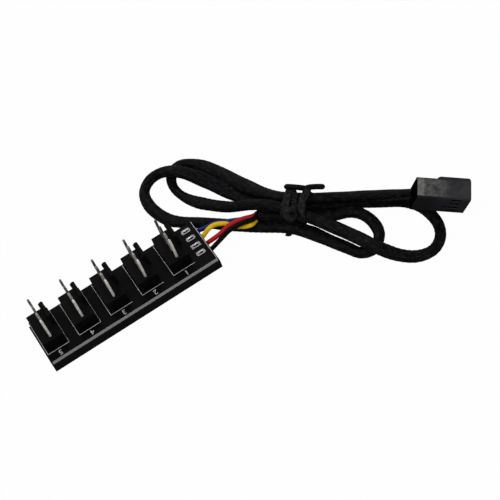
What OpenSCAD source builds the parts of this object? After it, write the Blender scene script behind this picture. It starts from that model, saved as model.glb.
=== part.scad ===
// Fan splitter: a small board with five four-pin fan headers on a foam pad,
// four short bare wires, a sleeved cable tied up in a hank, and a four-way socket.
// Millimetres. The board runs along X, the cable leaves its +X end, Z is up,
// and the origin is on the floor under the middle of the board.

/* [Board] */
// Length of the board
board_l = 50.2; // [46:0.1:56]
// Width of the board
board_w = 14.3; // [13.6:0.1:18]
// Thickness of the board
board_t = 1.6; // [1.2:0.1:2]
// Length of a plated wire slot
slot_l = 1.9; // [1.5:0.1:2.4]
// Width of a plated wire slot
slot_w = 1.1; // [0.9:0.1:1.5]
// Distance between the wire slots
slot_pitch = 2.75; // [2.6:0.05:2.9]
// Distance of the wire slots from the board's end
slot_inset = 2.65; // [2.4:0.05:3.2]

/* [Foam pad] */
// Thickness of the foam pad
foam_t = 3.2; // [3:0.1:5]
// How far the foam stands out past the board's ends
foam_over = 0.4; // [0:0.1:1]
// Depth of the pocket under the headers and wire joints
pocket_d = 1.8; // [1.6:0.1:2.2]

/* [Headers] */
// Gap between the last header and the plating of the wire slots
header_gap = 1.8; // [1.4:0.1:2.4]
// Thickness of a header's base, across its row of pins
header_w = 5.8; // [5.2:0.1:6.6]
// Height of a header's base
header_h = 3.2; // [2.6:0.1:4]
// Distance between neighbouring pins
pin_pitch = 2.54; // [2.5:0.01:2.6]
// Width of a square pin
pin_w = 0.64; // [0.5:0.02:0.8]
// Height of the pins above the header's base
pin_h = 8; // [6:0.1:9]
// Length of the pins below the board
pin_tail = 1.2; // [1:0.1:1.4]
// Width of the locking wall
lock_w = 5; // [4:0.1:6]
// Thickness of the locking wall
lock_t = 0.9; // [0.7:0.05:1.1]
// Height of the locking wall above the board
lock_h = 7.6; // [6:0.1:9]

/* [Socket] */
// Length of the socket
socket_l = 13.9; // [13:0.1:15]
// Thickness of the socket
socket_t = 5.3; // [4.8:0.1:6]
// Height of the polarising ribs
rib_h = 0.65; // [0.4:0.05:0.9]
// Length of the polarising ribs
rib_l = 8.4; // [6:0.1:10]
// Width of a terminal's cavity
cavity_w = 1.9; // [1.6:0.05:2.1]
// Depth of a terminal's cavity
cavity_t = 2.6; // [2.2:0.05:3]

/* [Cable] */
// Diameter of the braided sleeve
sleeve_d = 3; // [2.4:0.05:3]
// Diameter of one insulated wire
wire_d = 1.25; // [0.9:0.05:1.25]
// Width of the tie's strip
tie_w = 2.4; // [1.6:0.1:3]
// Thickness of the tie's strip
tie_t = 0.3; // [0.2:0.05:0.3]

/* [Hidden] */

// Board: heights, and the place of the row of headers across it
board_z = foam_t;
board_top = board_z + board_t;
header_count = 5;
ways = 4;
header_back = 0.35;
header_l = ways * pin_pitch;
header_y = board_w / 2 - header_back - header_l / 2;
function pin_y(j) = header_y + ((ways + 1) / 2 - j) * pin_pitch;

// Plated slots and the round holes of the pins
plating_t = 0.12;
plating_rim = 0.38;
plating_h = 0.06;
pin_hole_r = 0.5;
slot_x = board_l / 2 - slot_inset;
slot_y0 = 1.17;
square_slot = 3;
function slot_y(k) = slot_y0 + (2.5 - k) * slot_pitch;

// Headers stand evenly between the board's left end and the wire slots
first_x = -board_l / 2 + 0.3 + header_w / 2;
last_x = slot_x - slot_l / 2 - plating_rim - header_gap - header_w / 2;
header_pitch = (last_x - first_x) / (header_count - 1);
function header_x(i) = first_x + (i - 1) * header_pitch;

// Headers: base, relief grooves and locking wall with its hook
base_chamfer = 0.1;
groove_w = 1.2;
groove_h = 0.5;
lock_inset = 0.05;
lock_x = header_w / 2 - lock_inset - lock_t;
hook_t = 0.45;
hook_h = 1.3;
hook_drop = 0.5;
foot_t = 0.25;
foot_h = 1;
tip_h = 0.5;
tip_w = 0.3;

// Solder: a cone round each tail, and a filled hole
solder_r = 0.95;
solder_h = 0.8;

// Wires leave from under the board
wire_z = board_z - 0.7;
wire_x = board_l / 2 - 0.8;
wire_out = board_l / 2 + foam_over + 0.2;
wire_y0 = 1.3;
wire_pitch = 2.4;
function wire_y(k) = wire_y0 + (2.5 - k) * wire_pitch;
joint_l = 2;
joint_r = 0.62;

// Socket: placement on the floor, cavities, windows and ribs
socket_at = [72.5, -26.2, 4.6];
socket_turn = [14, 18, -32];
socket_w = ways * pin_pitch;
cavity_back = 2.6;
terminal_gap = 0.5;
terminal_hole = 1.1;
terminal_hole_l = 6.5;
window_l = 2.5;
window_w = 1.3;
window_back = 9;
lance_t = 0.35;
rib_w = 0.7;
rib_gap = lock_w + 0.4;
corner_cut = 0.35;
lock_way = 3;

// Cable route, one ring of the tube at each point
sleeve_points = [
    [40.7, -1, 3.1], [48.9, -7.5, 2.1], [55.6, -12.3, 1.8], [61.4, -16.1, 2.1],
    [63.6, -20.6, 1.9], [63.1, -25.5, 1.6], [59.7, -28.4, 1.6], [56.2, -27.4, 1.6],
    [54, -23.6, 1.6], [50, -16.3, 1.6], [45.8, -9.8, 2.1], [40.7, -4.9, 1.6],
    [34.7, 0.4, 1.6], [28.9, 6.1, 1.6], [23.1, 11.5, 1.6], [20.2, 15.9, 1.6],
    [19, 20.8, 1.6], [19.9, 25.7, 1.6], [23.3, 28, 2.2], [27.3, 25.9, 4.6],
    [31.1, 22.1, 4.9], [35.1, 16.1, 3.2], [39.3, 9.2, 1.6], [44.2, 1.5, 1.7],
    [51, -5.2, 2.1], [57.3, -9.5, 1.6], [63.7, -13.7, 1.6], [69.6, -18.1, 1.5],
    [73.9, -21.7, 1.5], [76.4, -26.4, 1.5], [76.8, -31.9, 1.5], [74.9, -36.2, 1.6],
    [71.3, -38.3, 1.6], [67.1, -37.4, 1.6], [63.3, -34.7, 2.6], [59.9, -31, 4.8],
    [57.2, -24.7, 4.8], [53.2, -16.4, 4.8], [48.2, -8, 5.4], [44.4, -3.1, 6.1],
    [40.3, 0.5, 6.2], [35.8, 5.9, 3], [30.8, 12.6, 1.6], [28, 17.5, 1.6],
    [27.3, 22.2, 1.6], [28.9, 26, 1.6], [32.5, 27.2, 1.6], [36.3, 24.5, 1.6],
    [39.3, 19.6, 1.6], [42.9, 9.3, 3], [46.7, 0, 5.1], [51.6, -5.3, 5.3],
    [55.9, -8.3, 4.8], [62.7, -13.4, 5], [68.5, -19.3, 7]];
blue_points = [[30.2, 4, 3.9], [34.4, 1.8, 3.9]];
yellow_points = [[28.6, 3, 3.6], [32.4, 0.6, 3.7], [36.2, -2, 4.2], [38.8, -2.4, 3.8]];
red_points = [[30.4, 0.4, 4.8], [34.6, 0.6, 5.5], [38.2, -0.1, 4.6]];
black_points = [[30.4, -1.7, 4.6], [34.6, -1.2, 5.6], [38.2, -1.4, 5.2]];
cord_sides = 8;

// Tie: the bundle's middle and the way it runs, the outline round the passes,
// and the knot, fork and two free ends of the strip, measured from that middle
tie_at = [50, -6.3];
tie_turn = 39;
tie_clear = 0.05;
tie_floor = [[-5.6, 2], [1.9, 2]];
tie_top = [[-2.8, 5.5], [2.3, 5.3]];
tie_knot = [-4.7, -1, 8];
tie_fork = [3.6, -1.8, 8.2];
tie_ends = [[3, 3.6, 7.9], [5.2, -6.9, 8.1]];
knot_r = 1.9;
stem_d = 1.4;
end_d = 1.1;
facets = 32;

// Vectors and a tube swept along a list of points
function unit(v) = v / norm(v);
function way(p, i) = unit(p[min(i + 1, len(p) - 1)] - p[max(i - 1, 0)]);
function ways_of(p, first, last) = [for (i = [0:len(p) - 1])
    i == 0 ? unit(first) : i == len(p) - 1 ? unit(last) : way(p, i)];
function side_of(t) = unit(cross(t, [0, 0, 1]));
function ring_at(c, t, r, sides) = [for (k = [0:sides - 1])
    let (a = 360 * (k + 0.5) / sides, s = side_of(t), u = cross(s, t))
    c + r * (cos(a) * s + sin(a) * u)];

module tube(p, d, first, last, sides = cord_sides) {
    t = ways_of(p, first, last);
    n = len(p);
    r = d / 2 / cos(180 / sides);
    rings = [for (i = [0:n - 1]) each ring_at(p[i], t[i], r, sides)];
    walls = [for (i = [0:n - 2], k = [0:sides - 1])
        let (a = i * sides + k, b = i * sides + (k + 1) % sides)
        each [[a, b, b + sides], [a, b + sides, a + sides]]];
    start = [for (k = [sides - 1:-1:0]) k];
    end = [for (k = [0:sides - 1]) (n - 1) * sides + k];
    polyhedron(points = rings, faces = concat([start], walls, [end]), convexity = 8);
}

// A turn about X, then Y, then Z, as rotate() does it
function turned(v, a) = let (
    x = [v[0], v[1] * cos(a[0]) - v[2] * sin(a[0]), v[1] * sin(a[0]) + v[2] * cos(a[0])],
    y = [x[0] * cos(a[1]) + x[2] * sin(a[1]), x[1], -x[0] * sin(a[1]) + x[2] * cos(a[1])])
    [y[0] * cos(a[2]) - y[1] * sin(a[2]), y[0] * sin(a[2]) + y[1] * cos(a[2]), y[2]];
socket_axis = turned([1, 0, 0], socket_turn);
socket_entry = socket_at + turned([0, socket_t / 2, socket_w / 2], socket_turn);
sleeve_route = concat(sleeve_points, [socket_entry]);
mouth_way = unit(sleeve_points[1] - sleeve_points[0]);
mouth_side = side_of(mouth_way);
mouth_up = cross(mouth_side, mouth_way);
mouth_spread = 0.75 * wire_d;
function mouth_at(a, b) = sleeve_points[0] + mouth_spread * (a * mouth_side + b * mouth_up);

module box(x0, x1, y0, y1, z0, z1) {
    translate([x0, y0, z0]) cube([x1 - x0, y1 - y0, z1 - z0]);
}

// Slot k grown all round: round ends along X, but one slot has square ends
module slot_shape(k, grow) {
    l = slot_l + 2 * grow;
    w = slot_w + 2 * grow;
    end = k == square_slot ? 0 : w;
    square([l - end, w], center = true);
    if (k != square_slot) for (s = [-1, 1])
        translate([s * (l - w) / 2, 0]) circle(d = w, $fn = facets);
}

module circuit_board() color("#101214") difference() {
    translate([0, 0, board_z]) linear_extrude(board_t) square([board_l, board_w], center = true);
    for (k = [1:4]) translate([slot_x, slot_y(k), board_z - 1])
        linear_extrude(board_t + 2) slot_shape(k, plating_t);
    for (i = [1:header_count], j = [1:ways]) translate([header_x(i), pin_y(j), board_z - 1])
        cylinder(r = pin_hole_r, h = board_t + 2, $fn = facets);
}

module slot_plating() color("silver") for (k = [1:4])
    translate([slot_x, slot_y(k), 0]) difference() {
        union() {
            translate([0, 0, board_z - plating_h]) linear_extrude(board_t + 2 * plating_h)
                slot_shape(k, plating_t);
            for (z = [board_z - plating_h, board_top]) translate([0, 0, z])
                linear_extrude(plating_h) slot_shape(k, plating_rim);
        }
        translate([0, 0, board_z - 1]) linear_extrude(board_t + 2) slot_shape(k, 0);
    }

module foam_pad() color("#2b2d30") difference() {
    box(-board_l / 2 - foam_over, board_l / 2 + foam_over, -board_w / 2, board_w / 2, 0, foam_t);
    for (i = [1:header_count]) {
        x = header_x(i);
        box(x - 1.4, x + 1.4, pin_y(ways) - 1.4, pin_y(1) + 1.4, foam_t - pocket_d, foam_t + 1);
    }
    box(slot_x - 1.9, wire_x + 0.3, slot_y(4) - 1.25, slot_y(1) + 1.25, foam_t - pocket_d, foam_t + 1);
    for (k = [1:4]) {
        y = wire_y(k);
        box(wire_x, board_l, y - 0.75, y + 0.75, wire_z - wire_d / 2 - 0.1, foam_t + 1);
    }
}

module header(i) color("#17181a") translate([header_x(i), header_y, board_top]) difference() {
    union() {
        header_base();
        lock_wall();
    }
    for (j = [1:ways]) translate([-pin_w / 2, pin_y(j) - header_y - pin_w / 2, -1])
        cube([pin_w, pin_w, header_h + 2]);
}

// The base has cut corners on its four uprights and a relief groove underneath
module header_base() difference() {
    linear_extrude(header_h) cut_square(header_w, header_l, base_chamfer);
    for (s = [-1, 1])
        box(s * (header_w / 2 - 0.5) - groove_w / 2, s * (header_w / 2 - 0.5) + groove_w / 2,
            -header_l / 2 + 1, header_l / 2 - 1, -1, groove_h);
}

module cut_square(a, b, c) {
    x = a / 2;
    y = b / 2;
    polygon([[-x + c, -y], [x - c, -y], [x, -y + c], [x, y - c],
        [x - c, y], [-x + c, y], [-x, y - c], [-x, -y + c]]);
}

// The locking wall stands on the cable's side, centred on the second pin
module lock_wall() {
    y = pin_y(2) - header_y;
    translate([0, y + lock_w / 2, 0]) rotate([90, 0, 0]) linear_extrude(lock_w)
        polygon([[lock_x, header_h - 0.5], [lock_x + lock_t + foot_t, header_h - 0.5],
            [lock_x + lock_t + foot_t, header_h + foot_h - foot_t],
            [lock_x + lock_t, header_h + foot_h], [lock_x + lock_t, lock_h - 0.3],
            [lock_x + lock_t - 0.3, lock_h], [lock_x + 0.1, lock_h],
            [lock_x - hook_t, lock_h - hook_drop], [lock_x - hook_t, lock_h - hook_drop - 0.3],
            [lock_x, lock_h - hook_h]]);
}

// A square pin with a blunt pyramid at each end
module pin(i, j) color("#c9c7bd") translate([header_x(i), pin_y(j), 0]) intersection() {
    rotate([90, 0, 0]) linear_extrude(pin_w, center = true) pin_side();
    rotate([90, 0, 90]) linear_extrude(pin_w, center = true) pin_side();
}

module pin_side() {
    z0 = board_z - pin_tail;
    z1 = board_top + header_h + pin_h;
    a = pin_w / 2;
    b = tip_w / 2;
    polygon([[-b, z0], [b, z0], [a, z0 + tip_h], [a, z1 - tip_h],
        [b, z1], [-b, z1], [-a, z1 - tip_h], [-a, z0 + tip_h]]);
}

// Solder fills each hole round its pin and makes a cone on the underside
module solder(i) color("#b9bbbd") for (j = [1:ways])
    translate([header_x(i), pin_y(j), 0]) difference() {
        union() {
            translate([0, 0, board_z]) cylinder(r = pin_hole_r, h = board_t, $fn = facets);
            translate([0, 0, board_z - solder_h])
                cylinder(r1 = pin_w * 0.75, r2 = solder_r, h = solder_h, $fn = facets);
        }
        translate([-pin_w / 2, -pin_w / 2, 0]) cube([pin_w, pin_w, board_top + 1]);
    }

// Each wire's stripped end lies under its slot in a drop of solder
module wire_joints() color("#b9bbbd") for (k = [1:4]) {
    translate([slot_x - joint_l / 2, wire_y(k), wire_z]) rotate([0, 90, 0])
        cylinder(r = joint_r, h = wire_x - slot_x + joint_l / 2, $fn = facets);
    translate([slot_x, wire_y(k), wire_z])
        cylinder(r = joint_r, h = board_z - plating_h - wire_z, $fn = facets);
}

module wire(k, points, mouth) {
    start = [wire_x, wire_y(k), wire_z];
    out = [wire_out, wire_y(k), wire_z];
    tube(concat([start, out], points, [mouth]), wire_d, [1, 0, 0], mouth_way);
}

module cable_sleeve() color("#1c1d1f") tube(sleeve_route, sleeve_d, mouth_way, socket_axis);

// The strip goes once round the bundle; its ends, twisted up to a knot, lie across
// the top and part in a fork. Nothing of it reaches into the bundle
module twist_tie() color("#202123") translate([tie_at[0], tie_at[1], 0])
    rotate([0, 0, tie_turn]) difference() {
        union() {
            along_bundle(tie_w) tie_outline(tie_t + tie_clear);
            translate(tie_knot) sphere(r = knot_r, $fn = facets);
            strip([tie_knot, tie_fork], stem_d);
            strip([tie_ends[0], tie_fork, tie_ends[1]], end_d);
        }
        along_bundle(4 * tie_w) tie_outline(tie_clear);
    }

module along_bundle(l) {
    rotate([90, 0, 0]) linear_extrude(l, center = true) children();
}

module strip(p, d) {
    n = len(p);
    tube(p, d, p[1] - p[0], p[n - 1] - p[n - 2]);
}

module tie_outline(grow) {
    r = sleeve_d / 2 / cos(180 / cord_sides) + grow;
    hull() for (c = concat(tie_floor, tie_top)) translate(c) circle(r = r, $fn = facets);
}

module socket_frame() translate(socket_at) rotate(socket_turn) children();

function way_z(j) = (j - 0.5) * pin_pitch;

module socket_housing() color("#2a2b2e") socket_frame() difference() {
    union() {
        rotate([90, 0, 90]) linear_extrude(socket_l) translate([socket_t / 2, socket_w / 2])
            cut_square(socket_t, socket_w, corner_cut);
        socket_ribs();
    }
    for (j = [1:ways]) {
        box(cavity_back, socket_l + 1, (socket_t - cavity_t) / 2, (socket_t + cavity_t) / 2,
            way_z(j) - cavity_w / 2, way_z(j) + cavity_w / 2);
        box(window_back, window_back + window_l, -1, socket_t / 2,
            way_z(j) - window_w / 2, way_z(j) + window_w / 2);
    }
}

module socket_ribs() {
    middle = way_z(lock_way);
    for (s = [-1, 1]) {
        z = middle + s * (rib_gap + rib_w) / 2;
        translate([socket_l - rib_l, 0, z - rib_w / 2]) linear_extrude(rib_w)
            polygon([[0, socket_t / 2], [0, socket_t + rib_h / 2], [rib_h, socket_t + rib_h],
                [rib_l - 0.4, socket_t + rib_h], [rib_l, socket_t + rib_h / 2], [rib_l, socket_t / 2]]);
    }
}

// A box terminal whose lance stands up into the housing's window
module terminal(j) color("#c9c7bd") socket_frame() difference() {
    union() {
        box(cavity_back, socket_l - terminal_gap, (socket_t - cavity_t) / 2, (socket_t + cavity_t) / 2,
            way_z(j) - cavity_w / 2, way_z(j) + cavity_w / 2);
        translate([window_back, 0, way_z(j) - 0.45]) linear_extrude(0.9)
            polygon([[0, socket_t / 2], [0, (socket_t - cavity_t) / 2 - lance_t],
                [0.4, (socket_t - cavity_t) / 2 - lance_t], [window_l - 0.4, (socket_t - cavity_t) / 2],
                [window_l - 0.4, socket_t / 2]]);
    }
    box(socket_l - terminal_gap - terminal_hole_l, socket_l + 1,
        (socket_t - terminal_hole) / 2, (socket_t + terminal_hole) / 2,
        way_z(j) - terminal_hole / 2, way_z(j) + terminal_hole / 2);
}

circuit_board();
slot_plating();
foam_pad();
header(1);  // header_1
header(2);  // header_2
header(3);  // header_3
header(4);  // header_4
header(5);  // header_5
pin(1, 1);  // pin_1_1
pin(1, 2);  // pin_1_2
pin(1, 3);  // pin_1_3
pin(1, 4);  // pin_1_4
pin(2, 1);  // pin_2_1
pin(2, 2);  // pin_2_2
pin(2, 3);  // pin_2_3
pin(2, 4);  // pin_2_4
pin(3, 1);  // pin_3_1
pin(3, 2);  // pin_3_2
pin(3, 3);  // pin_3_3
pin(3, 4);  // pin_3_4
pin(4, 1);  // pin_4_1
pin(4, 2);  // pin_4_2
pin(4, 3);  // pin_4_3
pin(4, 4);  // pin_4_4
pin(5, 1);  // pin_5_1
pin(5, 2);  // pin_5_2
pin(5, 3);  // pin_5_3
pin(5, 4);  // pin_5_4
solder(1);  // solder_1
solder(2);  // solder_2
solder(3);  // solder_3
solder(4);  // solder_4
solder(5);  // solder_5
wire_joints();
color("#1c3f94") wire(1, blue_points, mouth_at(0, -1));  // wire_blue
color("#d9b51e") wire(2, yellow_points, mouth_at(1, 0));  // wire_yellow
color("#c0282d") wire(3, red_points, mouth_at(-1, 0));  // wire_red
color("#222324") wire(4, black_points, mouth_at(0, 1));  // wire_black
cable_sleeve();
twist_tie();
socket_housing();
terminal(1);  // terminal_1
terminal(2);  // terminal_2
terminal(3);  // terminal_3
terminal(4);  // terminal_4
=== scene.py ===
"""Looks of the fan splitter: braided cable hank, wires, tie, board print and materials.

Metres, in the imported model's frame: X along the board towards its cable, Y to the back, Z up.
"""
import math

import bpy
import numpy as np
from mathutils import Matrix, Vector


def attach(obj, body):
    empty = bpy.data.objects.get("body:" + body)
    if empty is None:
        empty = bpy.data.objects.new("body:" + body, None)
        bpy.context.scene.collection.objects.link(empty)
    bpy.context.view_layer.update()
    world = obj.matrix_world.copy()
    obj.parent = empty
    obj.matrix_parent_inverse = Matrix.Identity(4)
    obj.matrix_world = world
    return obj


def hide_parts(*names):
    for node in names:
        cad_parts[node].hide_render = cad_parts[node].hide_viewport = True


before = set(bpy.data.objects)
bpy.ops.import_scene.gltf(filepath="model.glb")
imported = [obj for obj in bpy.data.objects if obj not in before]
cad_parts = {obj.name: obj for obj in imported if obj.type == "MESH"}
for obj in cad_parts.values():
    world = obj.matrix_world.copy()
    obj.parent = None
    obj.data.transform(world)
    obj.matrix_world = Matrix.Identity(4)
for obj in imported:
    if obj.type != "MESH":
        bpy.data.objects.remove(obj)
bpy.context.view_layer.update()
MM = 0.001

# Camera: place, the directions of the picture's right and down, and the line of sight
CAMERA_AT = (-18.92, -245.271, 357.805)
PICTURE_RIGHT = (0.838415, -0.502731, -0.210529)
PICTURE_DOWN = (-0.531209, -0.667284, -0.522062)
LINE_OF_SIGHT = (0.121974, 0.54954, -0.826516)
SENSOR_MM = 36
LENS_MM = 118.8

# Board, as in the part's source
BOARD_L, BOARD_W, BOARD_T = 50.2, 14.3, 1.6
BOARD_Z = 3.2
BOARD_TOP = BOARD_Z + BOARD_T
# Heights between which the painted shade on the lower part of the cut edges turns into pale laminate
EDGE_SHADE_HEIGHTS = (3.5, 3.65)
HEADERS = 5
HEADER_X0, HEADER_PITCH = -21.9, 9.58
SLOTS = 4
SLOT_X, SLOT_Y0, SLOT_PITCH = 22.45, -2.955, 2.75
SLOT_L, SLOT_W = 1.9, 1.1
SQUARE_SLOT = 1
# Rings of the solder in a slot: (how far past the slot's wall, height from the board's top)
SOLDER_RINGS = [(-0.02, 0.05), (-0.18, -0.02), (-0.3, -0.25), (-0.3, -1.3), (-0.02, -1.3)]
SOLDER_SIDES = 32

# Print: its lines' places, widths and thickness, and the numbers in front of the frames
PRINT_FRONT, PRINT_HALF = -4.59, 3.26
PRINT_END_INSET, PRINT_SIDE_INSET = 0.12, 0.15
PRINT_LINE, PRINT_THIN_LINE = 0.14, 0.08
PRINT_T = 0.02
CLOSED_FRAMES = 2
NUMBER_Y, NUMBER_SIZE = -5.85, 2.1

# Socket: its corner, the ways from its wire end, from its window face and to its top, its
# length, thickness and width, and the place in its window face where a dimple's painted shade sits
SOCKET_AT = (72.5, -26.2, 4.6)
SOCKET_WAY = (0.8065, -0.5040, -0.3090)
SOCKET_DEEP = (0.5776, 0.7832, 0.2301)
SOCKET_TOP = (0.1261, -0.3641, 0.9228)
SOCKET_L, SOCKET_T, SOCKET_W = 13.9, 5.3, 10.16
SOCKET_DIMPLE_SHADE = (79.7, -31.9, 5.96)

# Cable: the sleeve's route, as in the part's source, and the wires' paths
SPLINE_STEPS = 24
SLEEVE_D = 3.0
WIRE_D = 1.25
WIRE_STEP, WIRE_SIDES = 0.3, 20
ROUTE = [
    (40.7, -1, 3.1), (48.9, -7.5, 2.1), (55.6, -12.3, 1.8), (61.4, -16.1, 2.1),
    (63.6, -20.6, 1.9), (63.1, -25.5, 1.6), (59.7, -28.4, 1.6), (56.2, -27.4, 1.6),
    (54, -23.6, 1.6), (50, -16.3, 1.6), (45.8, -9.8, 2.1), (40.7, -4.9, 1.6),
    (34.7, 0.4, 1.6), (28.9, 6.1, 1.6), (23.1, 11.5, 1.6), (20.2, 15.9, 1.6),
    (19, 20.8, 1.6), (19.9, 25.7, 1.6), (23.3, 28, 2.2), (27.3, 25.9, 4.6),
    (31.1, 22.1, 4.9), (35.1, 16.1, 3.2), (39.3, 9.2, 1.6), (44.2, 1.5, 1.7),
    (51, -5.2, 2.1), (57.3, -9.5, 1.6), (63.7, -13.7, 1.6), (69.6, -18.1, 1.5),
    (73.9, -21.7, 1.5), (76.4, -26.4, 1.5), (76.8, -31.9, 1.5), (74.9, -36.2, 1.6),
    (71.3, -38.3, 1.6), (67.1, -37.4, 1.6), (63.3, -34.7, 2.6), (59.9, -31, 4.8),
    (57.2, -24.7, 4.8), (53.2, -16.4, 4.8), (48.2, -8, 5.4), (44.4, -3.1, 6.1),
    (40.3, 0.5, 6.2), (35.8, 5.9, 3), (30.8, 12.6, 1.6), (28, 17.5, 1.6),
    (27.3, 22.2, 1.6), (28.9, 26, 1.6), (32.5, 27.2, 1.6), (36.3, 24.5, 1.6),
    (39.3, 19.6, 1.6), (42.9, 9.3, 3), (46.7, 0, 5.1), (51.6, -5.3, 5.3),
    (55.9, -8.3, 4.8), (62.7, -13.4, 5), (68.5, -19.3, 7), (74.65, -26, 9.9)]
# Colour and gloss of each wire's insulation
WIRE_LOOKS = {"blue": ((0.006, 0.018, 0.12), 0.09), "yellow": ((0.66, 0.41, 0.006), 0.09),
              "red": ((0.36, 0.010, 0.014), 0.09), "black": ((0.002, 0.002, 0.0022), 0.03)}
WIRES = {
    "blue": [
        (24.3, 4.9, 2.5), (25.7, 4.9, 2.5), (28.1, 4.3, 2.7), (30, 3.7, 3.2),
        (32.1, 2.4, 3.5), (34.8, 0.9, 3.5), (40.35, -1.29, 2.17)],
    "yellow": [
        (24.3, 2.5, 2.5), (25.7, 2.5, 2.7), (27.6, 2.6, 3.9), (29.6, 2.3, 4.6),
        (32, 1.1, 4.4), (33.6, -0.4, 3.7), (35.4, -2.3, 3.7), (37.6, -3.4, 3.8),
        (39.7, -2.2, 2.7)],
    "red": [
        (24.3, 0.1, 2.5), (25.7, 0, 2.6), (29.1, -1, 4.4), (32.7, -0.8, 5.2),
        (36.2, -1.2, 5.2), (39.2, -1.8, 4.5), (40.85, -0.9, 3.3)],
    "black": [
        (24.3, -2.3, 2.5), (25.7, -2.3, 2.6), (29, -2.4, 4.3), (32.2, -2.1, 5.1),
        (36.4, -2.5, 5.2), (38.8, -2.9, 4.8), (40.35, -1.6, 3.95)],
}
# Sections of the sleeve at rings of the route: (ring, width, height, shift to its side in mm)
SECTIONS = [
    (0, 1.1, 0.95, 0.45), (1, 1.15, 0.92, 0.35), (1.9, 1.32, 0.88, 0.42), (2.7, 1.05, 0.95, 0),
    (4.5, 1.12, 0.92, 0), (5.5, 1.0, 1.0, 0), (7.5, 1.05, 0.95, 0), (8.5, 1.2, 0.86, 0.1),
    (9.2, 1.34, 0.84, 0.42), (10, 1.25, 0.86, 0.1), (11.5, 1.2, 0.88, 0), (13, 1.0, 0.98, 0),
    (14.4, 1.2, 0.9, -0.35), (15.5, 1.18, 0.9, 0), (16.5, 1.1, 0.92, 0), (17.5, 0.98, 0.96, 0),
    (19, 1.04, 0.96, 0), (20, 1.2, 0.9, -0.1), (20.7, 1.48, 0.82, -0.42), (22, 1.46, 0.82, -0.34),
    (23, 1.25, 0.9, -0.1), (24, 1.0, 1.0, 0), (26, 1.08, 0.95, 0), (30, 1.02, 0.98, 0),
    (31, 0.98, 0.98, 0), (32.5, 1.1, 0.92, 0), (34.5, 1.26, 0.86, 0), (36.5, 1.26, 0.86, 0),
    (38, 1.0, 1.0, 0), (40, 1.0, 1.0, 0), (42, 1.2, 0.86, 0), (43.3, 0.84, 0.86, 0),
    (44, 0.86, 0.88, 0), (45, 1.08, 0.94, 0), (46.5, 0.92, 0.92, 0), (47.7, 1.3, 0.86, 0.3),
    (49, 1.42, 0.82, 0.32), (50, 1.08, 0.92, 0.1), (51, 1.0, 0.96, 0), (54, 0.98, 0.96, 0),
    (55, 0.86, 0.84, 0)]
SLEEVE_STEP = 0.22
BRAID_SIDES = 28
BRAID_PITCH = 3.0
BRAID_STRANDS = 8
BRAID_DEPTH = 0.07

# Tie: its middle and turn, then places in its own directions (across, along the bundle, up)
TIE_AT = (50, -6.3)
TIE_TURN = 39
# The strands that it goes round (across, up), how far it stays from their middles, and the
# point from which its angles are counted
TIE_ROUND = [(-1.6, 2.1), (1.6, 2), (-2.5, 5.4), (1.9, 5.3)]
TIE_GAP = 1.53
TIE_MIDDLE = (-0.5, 3.7)
# Each turn of the strip: (angle round the bundle in degrees, place along the bundle)
TIE_BANDS = [
    [(-23, 1.5), (36, 2.3), (70, 2.0), (112, 1.75), (144, 1.5), (190, 1.4), (270, 0.5)],
    [(-23, -1.5), (36, -2.7), (70, -2.1), (112, -2.7), (144, -3.3), (190, -3.0), (270, -0.5)]]
TIE_STEM = [(1.8, 0.35, 7.3), (0.4, -0.1, 7.5), (-1.6, -0.7, 7.6), (-3.4, -1.1, 7.4)]
TIE_ROOT = [(4.2, -2.5, 7.9), (3.4, -2.6, 7.8), (2.2, -2.5, 7.3), (0.8, -2.4, 7.1)]
TIE_TAIL = [(-3.4, 0.5, 0.32), (-5.5, 0.55, 0.32), (-6.9, 0.5, 0.6), (-7.4, 0.4, 1.2)]
# The knot is a coil: its middle, three ways, turns, reach at start, after one turn and at its
# end, and rise for each radian
TIE_KNOT = (-4.85, -0.95, 7.9)
KNOT_OUT = (-0.44, -0.35, 0.83)
KNOT_SIDE = (0.62, -0.78, 0)
KNOT_UP = (0.65, 0.52, 0.56)
KNOT_TURNS = 1.9
KNOT_REACH = (1.55, 1.35, 0.35)
KNOT_RISE = 0.06
KNOT_D = 1.15
TIE_ENDS = [
    [(3.0, 3.7, 7.8), (3.2, 2.2, 8.0), (3.5, -0.6, 8.0), (3.6, -1.7, 7.8), (3.0, -2.1, 7.3)],
    [(5.2, -7, 7.9), (4.7, -4.8, 8.0), (4.1, -2.9, 8.0), (3.6, -2.1, 7.8), (2.9, -2.3, 7.3)]]
# Strands of the tie: diameter, then width and height as factors where it is flattened
TAIL_SECTION = (1.5, 1.15, 0.42)
ROOT_SECTION = (2.1, 1.1, 0.7)
END_D = 1.5
BAND_W, BAND_T = 2.2, 0.7
TWIST_D, TWIST_OFFSET, TWIST_PITCH = 0.8, 0.45, 1.9


def mm(p):
    return Vector(p) * MM


def link(obj):
    bpy.context.scene.collection.objects.link(obj)
    return obj


def mesh_object(name, verts, faces, uvs=None):
    """A mesh from places in millimetres; uvs has one pair for each corner of each face."""
    mesh = bpy.data.meshes.new(name)
    mesh.from_pydata([tuple(Vector(v) * MM) for v in verts], [], faces)
    if uvs is not None:
        layer = mesh.uv_layers.new(name="UVMap")
        layer.data.foreach_set("uv", np.asarray(uvs, float).ravel())
    mesh.validate()
    return link(bpy.data.objects.new(name, mesh))


def smooth(obj):
    obj.data.polygons.foreach_set("use_smooth", [True] * len(obj.data.polygons))


# Curves

def spline(points, steps=SPLINE_STEPS):
    """A smooth line through the points."""
    p = np.array(points, float)
    p = np.vstack([2 * p[0] - p[1], p, 2 * p[-1] - p[-2]])
    out = []
    for i in range(1, len(p) - 2):
        a, b, c, d = p[i - 1], p[i], p[i + 1], p[i + 2]
        for t in np.arange(steps) / steps:
            out.append(0.5 * (2 * b + (c - a) * t + (2 * a - 5 * b + 4 * c - d) * t * t
                              + (3 * b - a - 3 * c + d) * t ** 3))
    out.append(p[-2])
    return np.array(out)


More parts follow.
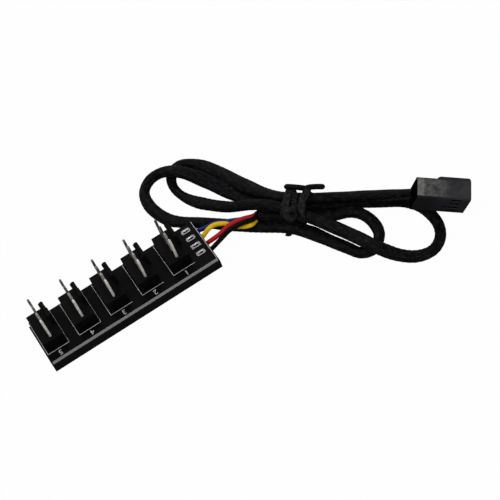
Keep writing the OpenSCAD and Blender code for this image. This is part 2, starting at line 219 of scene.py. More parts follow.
def spaced(line, step):
    """The line at even distances, and the distance along it of each point."""
    along = np.concatenate([[0], np.cumsum(np.linalg.norm(np.diff(line, axis=0), axis=1))])
    at = np.linspace(0, along[-1], max(2, int(round(along[-1] / step)) + 1))
    return np.stack([np.interp(at, along, line[:, k]) for k in range(3)], axis=1), at


def frames_along(line):
    """The way, the side and the up direction at each point of a line that is never upright."""
    way = np.gradient(line, axis=0)
    way /= np.linalg.norm(way, axis=1)[:, None]
    side = np.cross(way, (0, 0, 1))
    side /= np.linalg.norm(side, axis=1)[:, None]
    return way, side, np.cross(side, way)


def sweep(name, line, at, radii, section=None):
    """A closed tube round the line. radii has a row for each ring, and section gives each
    ring its width and height as factors and its shift to the side."""
    rings, sides = radii.shape
    _, side, up = frames_along(line)
    angle = 2 * math.pi * np.arange(sides) / sides
    x = radii * np.cos(angle)
    y = radii * np.sin(angle)
    if section is not None:
        x = x * section[:, 0, None] + section[:, 2, None]
        y = y * section[:, 1, None]
    verts = (line[:, None] + x[:, :, None] * side[:, None] + y[:, :, None] * up[:, None])
    verts = verts.reshape(-1, 3)
    faces, uvs = [], []
    for i in range(rings - 1):
        for k in range(sides):
            n = (k + 1) % sides
            faces.append((i * sides + k, i * sides + n, (i + 1) * sides + n, (i + 1) * sides + k))
            u0, u1, v0, v1 = k / sides, (k + 1) / sides, at[i], at[i + 1]
            uvs += [(u0, v0), (u1, v0), (u1, v1), (u0, v1)]
    for first, order in ((0, range(sides - 1, -1, -1)), ((rings - 1) * sides, range(sides))):
        faces.append(tuple(first + k for k in order))
        uvs += [(0.5, at[0])] * sides
    obj = mesh_object(name, verts, faces, uvs)
    smooth(obj)
    return obj


# Materials

def new_material(name):
    material = bpy.data.materials.new(name)
    material.use_nodes = True
    tree = material.node_tree
    return material, tree, tree.nodes["Principled BSDF"]


def node(tree, kind, inputs=None, **settings):
    made = tree.nodes.new(kind)
    for key, value in settings.items():
        setattr(made, key, value)
    for key, value in (inputs or {}).items():
        if isinstance(value, bpy.types.NodeSocket):
            tree.links.new(value, made.inputs[key])
        else:
            made.inputs[key].default_value = value
    return made


def math_node(tree, operation, a, b=0.0):
    return node(tree, "ShaderNodeMath", {0: a, 1: b}, operation=operation).outputs[0]


def noise(tree, scale, detail=3.0, vector=None, rough=0.55):
    inputs = {"Scale": scale, "Detail": detail, "Roughness": rough}
    if vector is not None:
        inputs["Vector"] = vector
    return node(tree, "ShaderNodeTexNoise", inputs).outputs["Fac"]


def ramp(tree, fac, low, high, a, b):
    made = node(tree, "ShaderNodeMapRange", {"Value": fac, "From Min": low, "From Max": high,
                                             "To Min": a, "To Max": b})
    return made.outputs["Result"]


def mix_color(tree, fac, a, b):
    made = node(tree, "ShaderNodeMix", data_type="RGBA")
    for socket, value in ((made.inputs[0], fac), (made.inputs[6], a), (made.inputs[7], b)):
        if isinstance(value, bpy.types.NodeSocket):
            tree.links.new(value, socket)
        else:
            socket.default_value = value
    return made.outputs[2]


def bump(tree, height, strength, distance, after=None):
    inputs = {"Height": height, "Strength": strength, "Distance": distance}
    if after is not None:
        inputs["Normal"] = after
    return node(tree, "ShaderNodeBump", inputs).outputs["Normal"]


def place(tree):
    return node(tree, "ShaderNodeTexCoord").outputs["Object"]


def base_color_link(shader):
    """What feeds the shader's colour so far, to be mixed with more."""
    return shader.inputs["Base Color"].links[0].from_socket


def edge_mask(tree, radius, low, high):
    """0 on flat faces, rising to 1 on sharp outer edges."""
    bevel = node(tree, "ShaderNodeBevel", {"Radius": radius}, samples=4).outputs["Normal"]
    normal = node(tree, "ShaderNodeNewGeometry").outputs["Normal"]
    same = node(tree, "ShaderNodeVectorMath", {0: bevel, 1: normal}, operation="DOT_PRODUCT")
    return ramp(tree, same.outputs["Value"], high, low, 0.0, 1.0)


def plastic(name, color, edge_color, roughness, gloss):
    """Moulded plastic: fine grain, uneven gloss and slightly lighter edges."""
    material, tree, shader = new_material(name)
    at = place(tree)
    blotch = noise(tree, 160.0, 4.0, at)
    base = mix_color(tree, ramp(tree, blotch, 0.35, 0.7, 0.0, 1.0),
                     (*color, 1), (*[c * 1.35 for c in color], 1))
    base = mix_color(tree, edge_mask(tree, 0.00012, 0.75, 0.99), base, (*edge_color, 1))
    tree.links.new(base, shader.inputs["Base Color"])
    shader.inputs["Specular IOR Level"].default_value = gloss
    tree.links.new(ramp(tree, noise(tree, 420.0, 5.0, at), 0.3, 0.7, roughness - 0.07,
                        roughness + 0.1), shader.inputs["Roughness"])
    tree.links.new(bump(tree, noise(tree, 2600.0, 3.0, at), 0.35, 0.000012),
                   shader.inputs["Normal"])
    return material


def along_way(tree, at, way, origin):
    """Distance in metres from the origin along a way."""
    start = sum(a * b for a, b in zip(origin, way)) * MM
    dot = node(tree, "ShaderNodeVectorMath", {0: at, 1: way}, operation="DOT_PRODUCT")
    return math_node(tree, "SUBTRACT", dot.outputs["Value"], start)


def inside(tree, value, low, high):
    """1 where the value lies between two places in millimetres, with soft ends."""
    soft = 0.1
    return math_node(tree, "MULTIPLY",
                     ramp(tree, value, (low - soft) * MM, low * MM, 0.0, 1.0),
                     ramp(tree, value, high * MM, (high + soft) * MM, 1.0, 0.0))


def socket_material():
    """Dark moulded socket: painted sheen makes its top pale, most at the wire end; painted shade
    darkens its wire end, the window face near it and a dimple, and makes it black inside.
    """
    material = plastic("socket_moulding", (0.020, 0.020, 0.022), (0.034, 0.034, 0.036), 0.5,
                       gloss=0)
    tree = material.node_tree
    shader = tree.nodes["Principled BSDF"]
    at = place(tree)
    x = along_way(tree, at, SOCKET_WAY, SOCKET_AT)
    y = along_way(tree, at, SOCKET_DEEP, SOCKET_AT)
    z = along_way(tree, at, SOCKET_TOP, SOCKET_AT)
    normal = node(tree, "ShaderNodeNewGeometry").outputs["Normal"]
    facing = node(tree, "ShaderNodeVectorMath", {0: normal, 1: SOCKET_TOP},
                  operation="DOT_PRODUCT").outputs["Value"]
    # the top face, picked out by the way it faces; it gets the painted sheen below
    top = math_node(tree, "MULTIPLY", ramp(tree, facing, 0.9, 0.97, 0.0, 1.0),
                    ramp(tree, y, (SOCKET_T - 0.3) * MM, (SOCKET_T - 0.1) * MM, 1.0, 0.0))
    # painted sheen: pale streaks on the top face, palest in a band at the wire end and fading along
    # the socket
    streaks = node(tree, "ShaderNodeVectorMath", {0: at, 1: (500.0, 700.0, 500.0)},
                   operation="MULTIPLY").outputs["Vector"]
    sheen_streaks = ramp(tree, noise(tree, 1.2, 5.0, streaks), 0.35, 0.7, 0.0, 1.0)
    plain = mix_color(tree, sheen_streaks, (0.035, 0.035, 0.034, 1), (0.10, 0.10, 0.098, 1))
    band = mix_color(tree, sheen_streaks, (0.10, 0.10, 0.097, 1), (0.17, 0.17, 0.167, 1))
    pale = mix_color(tree, ramp(tree, x, 1.7 * MM, 2.1 * MM, 1.0, 0.0), plain, band)
    fade = ramp(tree, x, 5.5 * MM, 9 * MM, 1.0, 0.18)
    color = mix_color(tree, math_node(tree, "MULTIPLY", top, fade),
                      base_color_link(shader), pale)
    # painted shade: the wire end face, and the faces other than the top towards the wire end, are
    # darkened
    wire_end_shade = ramp(tree, x, 0.1 * MM, 0.25 * MM, 1.0, 0.0)
    side = math_node(tree, "MULTIPLY", ramp(tree, x, 4 * MM, 7 * MM, 0.45, 0.0),
                     math_node(tree, "SUBTRACT", 1.0, top))
    shaded = math_node(tree, "MAXIMUM", wire_end_shade, side)
    # painted shade: a dark spot where a dimple sits in the window face
    away = node(tree, "ShaderNodeVectorMath", {0: at, 1: [v * MM for v in SOCKET_DIMPLE_SHADE]},
                operation="DISTANCE").outputs["Value"]
    dimple = ramp(tree, away, 0.4 * MM, 0.6 * MM, 0.8, 0.0)
    shaded = math_node(tree, "MAXIMUM", shaded, dimple)
    # painted shade: the socket is painted black inside
    inside_shade = math_node(tree, "MULTIPLY", inside(tree, x, 0.6, SOCKET_L - 0.5),
                       math_node(tree, "MULTIPLY", inside(tree, y, 0.2, SOCKET_T - 0.2),
                                 inside(tree, z, 0.4, SOCKET_W - 0.4)))
    dark = math_node(tree, "MAXIMUM", inside_shade, shaded)
    tree.links.new(mix_color(tree, dark, color, (0.0015, 0.0015, 0.0016, 1)),
                   shader.inputs["Base Color"])
    return material


def metal(name, color, roughness, shine=1.0):
    """Tinned metal with fine drawn streaks and dull patches."""
    material, tree, shader = new_material(name)
    at = place(tree)
    stretched = node(tree, "ShaderNodeVectorMath", {0: at, 1: (600.0, 600.0, 90.0)},
                     operation="MULTIPLY").outputs["Vector"]
    lines = noise(tree, 4.0, 6.0, stretched)
    dull = noise(tree, 700.0, 4.0, at)
    base = mix_color(tree, ramp(tree, dull, 0.35, 0.75, 0.0, 1.0),
                     (*color, 1), (*[c * 0.62 for c in color], 1))
    tree.links.new(base, shader.inputs["Base Color"])
    shader.inputs["Metallic"].default_value = shine
    tree.links.new(ramp(tree, lines, 0.3, 0.7, roughness - 0.08, roughness + 0.14),
                   shader.inputs["Roughness"])
    tree.links.new(bump(tree, lines, 0.3, 0.00001), shader.inputs["Normal"])
    return material


def pin_material():
    """Pins: pale and dull in the front row; painted shade darkens the back rows, in blotches."""
    material = metal("pin_tin", (0.82, 0.80, 0.72), 0.3, shine=0.45)
    tree = material.node_tree
    shader = tree.nodes["Principled BSDF"]
    at = place(tree)
    split = node(tree, "ShaderNodeSeparateXYZ", {0: at})
    blotch = ramp(tree, noise(tree, 800.0, 3.0, at), 0.42, 0.6, 0.7, 1.0)
    # painted shade: pins grow darker towards the back rows
    rear_row_shade = ramp(tree, split.outputs["Y"], -1.2 * MM, 1.0 * MM, 0.0, 0.95)
    dark = math_node(tree, "MULTIPLY", rear_row_shade, blotch)
    tree.links.new(mix_color(tree, dark, base_color_link(shader), (0.02, 0.02, 0.02, 1)),
                   shader.inputs["Base Color"])
    return material


def insulation(name, color, gloss):
    """Soft extruded insulation: dusty patches, uneven gloss and small dents."""
    material, tree, shader = new_material(name)
    at = place(tree)
    patch = noise(tree, 500.0, 4.0, at)
    base = mix_color(tree, ramp(tree, patch, 0.35, 0.75, 0.0, 1.0),
                     (*color, 1), (*[c * 0.8 for c in color], 1))
    tree.links.new(base, shader.inputs["Base Color"])
    tree.links.new(ramp(tree, noise(tree, 900.0, 3.0, at), 0.3, 0.7, 0.36, 0.52),
                   shader.inputs["Roughness"])
    tree.links.new(bump(tree, noise(tree, 1500.0, 2.0, at), 0.25, 0.00002),
                   shader.inputs["Normal"])
    shader.inputs["Specular IOR Level"].default_value = gloss
    return material


def braid_material():
    """Black monofilament braid: crossing filaments, and painted pale glints in short streaks along
    the sleeve.
    """
    material, tree, shader = new_material("sleeve_braid")
    uv = node(tree, "ShaderNodeUVMap", uv_map="UVMap").outputs["UV"]
    split = node(tree, "ShaderNodeSeparateXYZ", {0: uv})
    turn = math_node(tree, "MULTIPLY", split.outputs["X"], float(BRAID_STRANDS))
    along = math_node(tree, "DIVIDE", split.outputs["Y"], BRAID_PITCH / 2)
    fine, glints = [], []
    for operation, seed in (("ADD", 0.0), ("SUBTRACT", 7.0)):
        phase = math_node(tree, operation, turn, along)
        fine.append(math_node(tree, "SINE", math_node(tree, "MULTIPLY", phase, 2 * math.pi * 4)))
        lay = node(tree, "ShaderNodeCombineXYZ", {
            0: math_node(tree, "MULTIPLY", turn, 3.0),
            1: math_node(tree, "MULTIPLY", split.outputs["Y"], 0.5), 2: seed})
        spots = noise(tree, 1.0, 3.0, lay.outputs[0])
        glints.append(ramp(tree, spots, 0.52, 0.68, 0.0, 1.0))
    lines = math_node(tree, "MAXIMUM", fine[0], fine[1])
    glint = math_node(tree, "MAXIMUM", glints[0], glints[1])
    fuzz = noise(tree, 1800.0, 4.0, place(tree))
    base = mix_color(tree, ramp(tree, fuzz, 0.3, 0.75, 0.0, 1.0),
                     (0.0005, 0.0005, 0.0007, 1), (0.0018, 0.0018, 0.0022, 1))
    # painted glints: pale streaks of colour in place of highlights on the filaments
    base = mix_color(tree, glint, base, (0.0095, 0.0095, 0.011, 1))
    shader.inputs["Specular IOR Level"].default_value = 0.03
    tree.links.new(base, shader.inputs["Base Color"])
    tree.links.new(ramp(tree, fuzz, 0.3, 0.7, 0.42, 0.6), shader.inputs["Roughness"])
    tree.links.new(bump(tree, lines, 0.5, 0.00002), shader.inputs["Normal"])
    return material


def board_material():
    """Glossy black solder mask on top, glass-fibre laminate on the cut edges, with painted shade on
    their lower part.
    """
    material, tree, shader = new_material("board")
    at = place(tree)
    normal = node(tree, "ShaderNodeSeparateXYZ",
                  {0: node(tree, "ShaderNodeNewGeometry").outputs["Normal"]})
    flat = math_node(tree, "GREATER_THAN", math_node(tree, "ABSOLUTE", normal.outputs["Z"]), 0.7)
    weave = node(tree, "ShaderNodeTexWave", {"Vector": at, "Scale": 700.0, "Distortion": 2.0,
                                             "Detail": 2.0}, bands_direction="Z").outputs["Fac"]
    speck = noise(tree, 2400.0, 4.0, at)
    height = node(tree, "ShaderNodeSeparateXYZ", {0: at}).outputs["Z"]
    ragged = math_node(tree, "ADD", height, math_node(tree, "MULTIPLY", speck, 0.00012))
    # painted shade: below these heights the cut edges are dark, and above them they are pale
    # laminate
    edge_shade_fade = ramp(tree, ragged, *[v * MM for v in EDGE_SHADE_HEIGHTS], 0.0, 1.0)
    bright = mix_color(tree, weave, (0.18, 0.18, 0.184, 1), (0.34, 0.34, 0.35, 1))
    edge = mix_color(tree, edge_shade_fade, (0.004, 0.004, 0.0042, 1), bright)
    mask = mix_color(tree, ramp(tree, noise(tree, 120.0, 3.0, at), 0.35, 0.7, 0.0, 1.0),
                     (0.0010, 0.0010, 0.0012, 1), (0.0020, 0.0020, 0.0023, 1))
    tree.links.new(mix_color(tree, flat, edge, mask), shader.inputs["Base Color"])
    gloss = ramp(tree, noise(tree, 300.0, 4.0, at), 0.3, 0.7, 0.28, 0.4)
    rough = math_node(tree, "SUBTRACT", 0.75, math_node(tree, "MULTIPLY", flat,
                      math_node(tree, "SUBTRACT", 0.75, gloss)))
    tree.links.new(rough, shader.inputs["Roughness"])
    shader.inputs["Specular IOR Level"].default_value = 0.035
    tree.links.new(bump(tree, speck, 0.2, 0.00001), shader.inputs["Normal"])
    return material


def foam_material():
    """Dark closed-cell foam with open pores on its cut sides."""
    material, tree, shader = new_material("foam")
    at = place(tree)
    cells = node(tree, "ShaderNodeTexVoronoi", {"Vector": at, "Scale": 2600.0}).outputs["Distance"]
    big = node(tree, "ShaderNodeTexVoronoi", {"Vector": at, "Scale": 1100.0}).outputs["Distance"]
    base = mix_color(tree, ramp(tree, cells, 0.1, 0.7, 0.0, 1.0),
                     (0.001, 0.001, 0.0012, 1), (0.005, 0.005, 0.0055, 1))
    tree.links.new(base, shader.inputs["Base Color"])
    shader.inputs["Roughness"].default_value = 0.9
    shader.inputs["Specular IOR Level"].default_value = 0.05
    first = bump(tree, big, 0.6, 0.00008)
    tree.links.new(bump(tree, cells, 0.6, 0.00004, first), shader.inputs["Normal"])
    return material


def print_material():
    """Screen-printed ink, thin and slightly patchy."""
    material, tree, shader = new_material("print")
    at = place(tree)
    patch = noise(tree, 1500.0, 5.0, at)
    base = mix_color(tree, ramp(tree, patch, 0.35, 0.65, 0.0, 1.0),
                     (0.26, 0.26, 0.27, 1), (0.42, 0.42, 0.43, 1))
    tree.links.new(base, shader.inputs["Base Color"])
    shader.inputs["Roughness"].default_value = 0.6
    tree.links.new(bump(tree, patch, 0.3, 0.00001), shader.inputs["Normal"])
    return material


def plating_material():
    """Tinned slot rims; solder mask laps over their long sides."""
    material = solder_material("slot_tin")
    tree = material.node_tree
    shader = tree.nodes["Principled BSDF"]
    split = node(tree, "ShaderNodeSeparateXYZ", {0: place(tree)})
    across = math_node(tree, "SUBTRACT", split.outputs["Y"], SLOT_Y0 * MM)
    beside = math_node(tree, "PINGPONG", across, SLOT_PITCH / 2 * MM)
    lapped = ramp(tree, beside, 0.66 * MM, 0.74 * MM, 0.3, 1.0)
    tree.links.new(mix_color(tree, lapped, base_color_link(shader), (0.002, 0.002, 0.002, 1)),
                   shader.inputs["Base Color"])
    tree.links.new(math_node(tree, "SUBTRACT", 1.0, lapped), shader.inputs["Metallic"])
    shader.inputs["Specular IOR Level"].default_value = 0.035
    return material


def solder_material(name="solder_bright"):
    """Solder: bright, slightly uneven, with dull patches."""
    material, tree, shader = new_material(name)
    at = place(tree)
    dull = noise(tree, 900.0, 4.0, at)
    base = mix_color(tree, ramp(tree, dull, 0.35, 0.7, 0.0, 1.0),
                     (0.40, 0.40, 0.41, 1), (0.20, 0.20, 0.21, 1))
    tree.links.new(base, shader.inputs["Base Color"])
    shader.inputs["Metallic"].default_value = 1.0
    tree.links.new(ramp(tree, dull, 0.3, 0.7, 0.22, 0.42), shader.inputs["Roughness"])
    tree.links.new(bump(tree, noise(tree, 500.0, 2.0, at), 0.4, 0.00005),
                   shader.inputs["Normal"])
    return material


# Camera, light and floor

def add_camera():
    camera = link(bpy.data.objects.new("camera", bpy.data.cameras.new("camera")))
    right, down, sight = (Vector(v).normalized() for v in
                          (PICTURE_RIGHT, PICTURE_DOWN, LINE_OF_SIGHT))
    turn = Matrix((right, -down, -sight)).transposed().to_4x4()
    camera.matrix_world = Matrix.Translation(mm(CAMERA_AT)) @ turn
    camera.data.sensor_width = SENSOR_MM
    camera.data.lens = LENS_MM
    camera.data.clip_start = 0.01
    camera.data.clip_end = 10
    bpy.context.scene.camera = camera


def area_light(name, at, aim, size, power):
    data = bpy.data.lights.new(name, "AREA")
    data.shape = "RECTANGLE"
    data.size, data.size_y = size
    data.energy = power
    light = link(bpy.data.objects.new(name, data))
    light.location = at
    light.rotation_euler = (Vector(aim) - Vector(at)).to_track_quat("-Z", "Y").to_euler()


def add_lights():
    middle = (0.03, 0, 0)
    area_light("key", (-0.25, 0.05, 0.55), middle, (0.3, 0.3), 2.4)
    area_light("back", (0.15, 0.55, 0.4), middle, (0.5, 0.2), 2.2)
    area_light("fill", (0.25, -0.5, 0.35), middle, (0.3, 0.3), 1.8)
    world = bpy.data.worlds.new("studio")
    bpy.context.scene.world = world
    world.use_nodes = True
    tree = world.node_tree
    background = tree.nodes["Background"]
    path = node(tree, "ShaderNodeLightPath")
    seen = math_node(tree, "MAXIMUM", path.outputs["Is Camera Ray"],
                     math_node(tree, "MULTIPLY", path.outputs["Is Glossy Ray"], 0.5))
    tree.links.new(mix_color(tree, seen, (0.10, 0.10, 0.105, 1), (1, 1, 1, 1)),
                   background.inputs["Color"])
    background.inputs["Strength"].default_value = 1.0


def add_floor():
    size = 3000
    verts = [(-size, -size, 0), (size, -size, 0), (size, size, 0), (-size, size, 0)]
    floor = mesh_object("floor", verts, [(0, 1, 2, 3)])
    material, tree, shader = new_material("floor_paper")
    grain = noise(tree, 900.0, 3.0, place(tree))
    tree.links.new(ramp(tree, grain, 0.3, 0.7, 0.55, 0.65), shader.inputs["Roughness"])
    shader.inputs["Base Color"].default_value = (0.5, 0.5, 0.5, 1)
    shader.inputs["Specular IOR Level"].default_value = 0.2
    white = node(tree, "ShaderNodeEmission", {"Color": (1, 1, 1, 1), "Strength": 1.0})
    seen = node(tree, "ShaderNodeLightPath").outputs["Is Camera Ray"]
    mixed = node(tree, "ShaderNodeMixShader", {0: math_node(tree, "MULTIPLY", seen, 0.98),
                                               1: shader.outputs[0], 2: white.outputs[0]})
    tree.links.new(mixed.outputs[0], tree.nodes["Material Output"].inputs["Surface"])
    floor.data.materials.append(material)


# Cable

def braid_height(at, sides):
    """How far the braid stands out, for each ring and side: strands cross over and under."""
    turn = np.arange(sides) / sides * BRAID_STRANDS
    along = at[:, None] / (BRAID_PITCH / 2)
    right = turn[None, :] + along
    left = turn[None, :] - along
    over = 0.5 + 0.5 * np.cos(math.pi * right) * np.cos(math.pi * left)
    ridge = np.abs(np.cos(math.pi * right)) ** 0.7 * over
    cross = np.abs(np.cos(math.pi * left)) ** 0.7 * (1 - over)
    return np.maximum(ridge, cross)


def sections_at(at, curve):
    """The section factors at each distance, read from the table by ring number."""
    reach = np.concatenate([[0], np.cumsum(np.linalg.norm(np.diff(curve, axis=0), axis=1))])
    ring = np.interp(at, reach, np.arange(len(curve)) / SPLINE_STEPS)
    table = np.array(SECTIONS, float)
    return np.stack([np.interp(ring, table[:, 0], table[:, k]) for k in (1, 2, 3)], axis=1)


def add_sleeve(material):
    curve = spline(ROUTE)
    line, at = spaced(curve, SLEEVE_STEP)
    height = braid_height(at, BRAID_SIDES)
    slack = 1 + 0.02 * np.sin(at / 3.1) + 0.015 * np.sin(at / 1.3 + 1)
    radii = (SLEEVE_D / 2 - BRAID_DEPTH + BRAID_DEPTH * height) * slack[:, None]
    sleeve = sweep("sleeve", line, at, radii, sections_at(at, curve))
    sleeve.data.materials.append(material)
    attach(sleeve, "root")
    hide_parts("cable_sleeve")
    return sleeve, line, at[-1]


def add_wire(name, material):
    line, at = spaced(spline(WIRES[name]), WIRE_STEP)
    radii = np.full((len(line), WIRE_SIDES), WIRE_D / 2)
    wire = sweep("wire_" + name + "_insulated", line, at, radii)
    wire.data.materials.append(material)
    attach(wire, "root")
    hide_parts("wire_" + name)
    return wire


def add_cable():
    sleeve, line, length = add_sleeve(braid_material())
    wires = [add_wire(name, insulation("insulation_" + name, *look))
             for name, look in WIRE_LOOKS.items()]
    on_it = wires + add_tie() + [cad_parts[n] for n in (
        "socket_housing", "terminal_1", "terminal_2", "terminal_3", "terminal_4")]


# Tie

def to_tie(points):
    """Places from the tie's own directions (across, along, up) into the model's frame."""
    turn = math.radians(TIE_TURN)
    p = np.array(points, float)
    x = TIE_AT[0] + p[:, 0] * math.cos(turn) - p[:, 1] * math.sin(turn)
    y = TIE_AT[1] + p[:, 0] * math.sin(turn) + p[:, 1] * math.cos(turn)
    return np.stack([x, y, p[:, 2]], axis=1)


def hull_outline(centres, radius, count):
    """The outline of a band pulled tight round circles, at even distances."""
    angle = 2 * math.pi * np.arange(720) / 720
    way = np.stack([np.cos(angle), np.sin(angle)], axis=1)
    reach = (np.array(centres) @ way.T).max(axis=0) + radius
    slope = (np.roll(reach, -1) - np.roll(reach, 1)) / (2 * angle[1])
    line = reach[:, None] * way + slope[:, None] * np.stack([-way[:, 1], way[:, 0]], axis=1)
    closed = np.vstack([line, line[:1]])
    along = np.concatenate([[0], np.cumsum(np.linalg.norm(np.diff(closed, axis=0), axis=1))])
    at = np.linspace(0, along[-1], count, endpoint=False)
    return np.stack([np.interp(at, along, closed[:, k]) for k in (0, 1)], axis=1)


def band_loop(name, outline, shift, width, thick):
    """A closed strip with round edges along an outline in the tie's upright plane. shift has
    its place along the bundle at each point."""
    n, sides = len(outline), 16
    way = np.roll(outline, -1, axis=0) - np.roll(outline, 1, axis=0)
    way /= np.linalg.norm(way, axis=1)[:, None]
    out = np.stack([way[:, 1], -way[:, 0]], axis=1)
    angle = 2 * math.pi * (np.arange(sides) + 0.5) / sides
    side = np.sign(np.cos(angle)) * np.abs(np.cos(angle)) ** 0.35 * width / 2
    rise = np.sign(np.sin(angle)) * np.abs(np.sin(angle)) ** 0.8 * thick / 2
    ripple = 1 + 0.05 * np.sin(np.arange(n) * 2 * math.pi * 9 / n)
    verts = []
    for i in range(n):
        for k in range(sides):
            p = outline[i] + out[i] * (rise[k] + thick / 2)
            verts.append((p[0], shift[i] + side[k] * ripple[i], p[1]))
    faces = [((i * sides + k), ((i + 1) % n * sides + k), ((i + 1) % n * sides + (k + 1) % sides),
              (i * sides + (k + 1) % sides)) for i in range(n) for k in range(sides)]
    obj = mesh_object(name, to_tie(verts), faces)
    smooth(obj)
    return obj


def round_strand(name, points, diameter, wide=1.0, high=1.0):
    """A round or flattened strand with domed ends along points in the tie's directions."""
    line, at = spaced(spline(to_tie(points), 12), 0.2)
    end = np.minimum(at, at[-1] - at) / (diameter / 2)
    dome = np.sqrt(np.clip(1 - (1 - np.clip(end, 0.06, 1)) ** 2, 0, 1))
    radii = diameter / 2 * dome[:, None] * np.ones((1, 14))
    section = np.tile((wide, high, 0.0), (len(line), 1))
    return sweep(name, line, at, radii, section)


def twisted(path, offset, pitch, phase):
    """Points of one of two strands that twist round each other along a path."""
    line, at = spaced(spline(path, 12), 0.3)
    _, side, up = frames_along(line)
    angle = 2 * math.pi * at / pitch + phase
    return line + offset * (np.cos(angle)[:, None] * side + np.sin(angle)[:, None] * up)


def knot_coil():
    """Points of the knot's coil, which closes in as it rises."""
    turns = np.linspace(0, 2 * math.pi * KNOT_TURNS, 48)
    reach = np.interp(turns, (0, 2 * math.pi, turns[-1]), KNOT_REACH)
    middle, out, side, up = (np.array(p) for p in (TIE_KNOT, KNOT_OUT, KNOT_SIDE, KNOT_UP))
    return [middle + r * (math.cos(a) * side + math.sin(a) * up) + a * KNOT_RISE * out
            for a, r in zip(turns, reach)]


def tie_material(name, low, high):
    """Soft black rubber, mottled with pale patches of painted highlight."""
    material, tree, shader = new_material(name)
    at = place(tree)
    # painted highlights: pale mottled patches of colour on the black rubber
    highlight_mottle = noise(tree, 900.0, 5.0, at, 0.65)
    base = mix_color(tree, ramp(tree, highlight_mottle, 0.4, 0.68, 0.0, 1.0),
                     (low, low, low * 1.08, 1), (high, high, high * 1.05, 1))
    tree.links.new(base, shader.inputs["Base Color"])
    shader.inputs["Specular IOR Level"].default_value = 0.03
    tree.links.new(ramp(tree, highlight_mottle, 0.3, 0.7, 0.4, 0.6), shader.inputs["Roughness"])
    tree.links.new(bump(tree, noise(tree, 1500.0, 3.0, at), 0.5, 0.00006),
                   shader.inputs["Normal"])
    return material


def add_tie():
    """A soft strip twice round the bundle, with a coiled knot and twisted, spread ends."""
    outline = hull_outline(TIE_ROUND, TIE_GAP, 160)
    angle = np.degrees(np.arctan2(outline[:, 1] - TIE_MIDDLE[1], outline[:, 0] - TIE_MIDDLE[0]))
    pieces = [round_strand("tie_tail", TIE_TAIL, *TAIL_SECTION),
              round_strand("tie_root", TIE_ROOT, *ROOT_SECTION)]
    for k, slant in enumerate(TIE_BANDS):
        shift = np.interp(angle, *np.array(slant, float).T, period=360)
        pieces.append(band_loop("tie_band_%d" % (k + 1), outline, shift, BAND_W, BAND_T))
    for k, phase in enumerate((0, math.pi)):
        strand = twisted(TIE_STEM, TWIST_OFFSET, TWIST_PITCH, phase)
        pieces.append(round_strand("tie_twist_%d" % (k + 1), strand, TWIST_D))
    pieces.append(round_strand("tie_knot", knot_coil(), KNOT_D))
    ends = [round_strand("tie_end_%d" % (k + 1), points, END_D)
            for k, points in enumerate(TIE_ENDS)]
    # the strip, root, tail, knot and twist get the mottled painted highlights; the spread ends get a
    # darker rubber
    highlight_mottled = tie_material("tie_rubber", 0.0025, 0.019)
    dark = tie_material("tie_ends", 0.0006, 0.004)
    for piece in pieces:
        piece.data.materials.append(highlight_mottled)
    for piece in ends:
        piece.data.materials.append(dark)
    pieces += ends
    for piece in pieces:
        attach(piece, "root")
        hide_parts("twist_tie")
    return pieces


# Board print

def strip(a, b, width):
    """The four corners of a flat line from a to b."""
    (x0, y0), (x1, y1) = a, b
    length = math.hypot(x1 - x0, y1 - y0)
    nx, ny = -(y1 - y0) / length * width / 2, (x1 - x0) / length * width / 2
    return [(x0 + nx, y0 + ny), (x0 - nx, y0 - ny), (x1 - nx, y1 - ny), (x1 + nx, y1 + ny)]


def add_print(material):
    """A line along the right end, and round each header a front line and a side line that runs
    to the back edge; the first frames have a second, thin side line."""
    verts, faces = [], []
    z0, z1 = BOARD_TOP, BOARD_TOP + PRINT_T
    front, back = PRINT_FRONT, BOARD_W / 2 - PRINT_SIDE_INSET
    right_end = BOARD_L / 2 - PRINT_END_INSET
    lines = [((right_end, -back), (right_end, back), PRINT_LINE)]
    for i in range(HEADERS):
        x = HEADER_X0 + i * HEADER_PITCH
        a, b = max(x - PRINT_HALF, -right_end), x + PRINT_HALF
        lines += [((a, front), (b, front), PRINT_LINE), ((a, front), (a, back), PRINT_LINE)]
        if i < CLOSED_FRAMES:
            lines.append(((b, front), (b, back), PRINT_THIN_LINE))
    for line in lines:
        corners = strip(*line)
        base = len(verts)
        verts += [(x, y, z0) for x, y in corners] + [(x, y, z1) for x, y in corners]
        faces += [tuple(base + k for k in f) for f in
                  ((3, 2, 1, 0), (4, 5, 6, 7), (0, 1, 5, 4), (1, 2, 6, 5), (2, 3, 7, 6),
                   (3, 0, 4, 7))]
    printed = mesh_object("print_frames", verts, faces)
    printed.data.materials.append(material)
    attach(printed, "root")
    for i in range(HEADERS):
        add_number(str(HEADERS - i), HEADER_X0 + i * HEADER_PITCH, material)


def add_number(word, x, material):
    curve = bpy.data.curves.new("print_number_" + word, "FONT")
    curve.body = word
    curve.size = NUMBER_SIZE * MM
    curve.align_x, curve.align_y = "CENTER", "CENTER"
    curve.extrude = PRINT_T / 2 * MM
    curve.offset = 0.02 * MM
    number = link(bpy.data.objects.new("print_number_" + word, curve))
    number.location = mm((x, NUMBER_Y, BOARD_TOP + PRINT_T / 2))
    number.rotation_euler = (0, 0, math.pi)
    curve.materials.append(material)
    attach(number, "root")


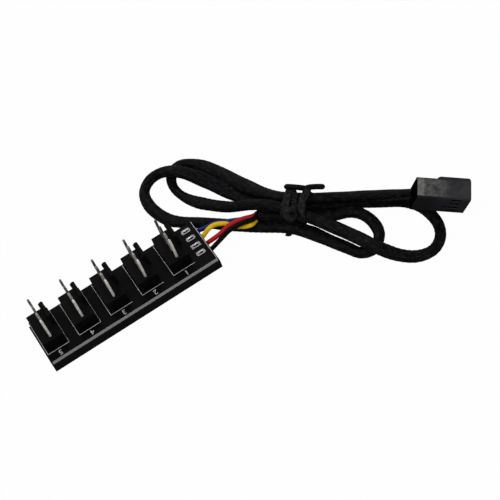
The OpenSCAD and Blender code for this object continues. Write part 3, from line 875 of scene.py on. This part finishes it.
def slot_loop(k, grow, z):
    """Points round a wire slot grown or shrunk by a distance; one slot is squarer."""
    angle = 2 * math.pi * (np.arange(SOLDER_SIDES) + 0.5) / SOLDER_SIDES
    power = 0.35 if k == SQUARE_SLOT else 0.75
    c, s = np.cos(angle), np.sin(angle)
    x = SLOT_X + np.sign(c) * np.abs(c) ** power * (SLOT_L / 2 + grow)
    y = SLOT_Y0 + k * SLOT_PITCH + np.sign(s) * np.abs(s) ** power * (SLOT_W / 2 + grow)
    return [(a, b, z) for a, b in zip(x, y)]


def add_slot_solder(k, material):
    """Solder drawn up the wall of a wire slot, with a narrow dark hole left in its middle."""
    count, n = SOLDER_SIDES, len(SOLDER_RINGS)
    verts = [p for grow, z in SOLDER_RINGS for p in slot_loop(k, grow, BOARD_TOP + z)]
    faces = [(i * count + j, i * count + (j + 1) % count, (i + 1) % n * count + (j + 1) % count,
              (i + 1) % n * count + j) for i in range(n) for j in range(count)]
    solder = mesh_object("slot_solder_%d" % (k + 1), verts, faces)
    smooth(solder)
    solder.data.materials.append(material)
    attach(solder, "root")


def dress(names, material):
    for name in names:
        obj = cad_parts[name]
        obj.data.materials.clear()
        obj.data.materials.append(material)


def soften(names, width):
    for name in names:
        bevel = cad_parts[name].modifiers.new("edge", "BEVEL")
        bevel.width = width
        bevel.segments = 2
        bevel.limit_method = "ANGLE"
        bevel.angle_limit = math.radians(40)


def dress_board():
    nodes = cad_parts
    headers = [n for n in nodes if n.startswith("header_")]
    dress(["circuit_board"], board_material())
    dress(["foam_pad"], foam_material())
    solder = solder_material()
    dress(["wire_joints"] + [n for n in nodes if n.startswith("solder_")], solder)
    dress(["slot_plating"], plating_material())
    for k in range(SLOTS):
        add_slot_solder(k, solder)
    dress(headers, plastic("header_moulding", (0.0024, 0.0024, 0.0027),
                           (0.006, 0.006, 0.0063), 0.5, gloss=0.025))
    dress([n for n in nodes if n.startswith("pin_")], pin_material())
    dress(["socket_housing"], socket_material())
    dress([n for n in nodes if n.startswith("terminal_")],
          metal("terminal_tin", (0.12, 0.115, 0.10), 0.4))
    dress(["twist_tie"], tie_material("tie_plain", 0.004, 0.02))
    soften(headers, 0.00008)
    soften(["socket_housing"], 0.00012)


def main():
    bpy.context.scene.view_settings.view_transform = "Standard"
    add_camera()
    add_lights()
    add_floor()
    add_cable()
    dress_board()
    add_print(print_material())


main()
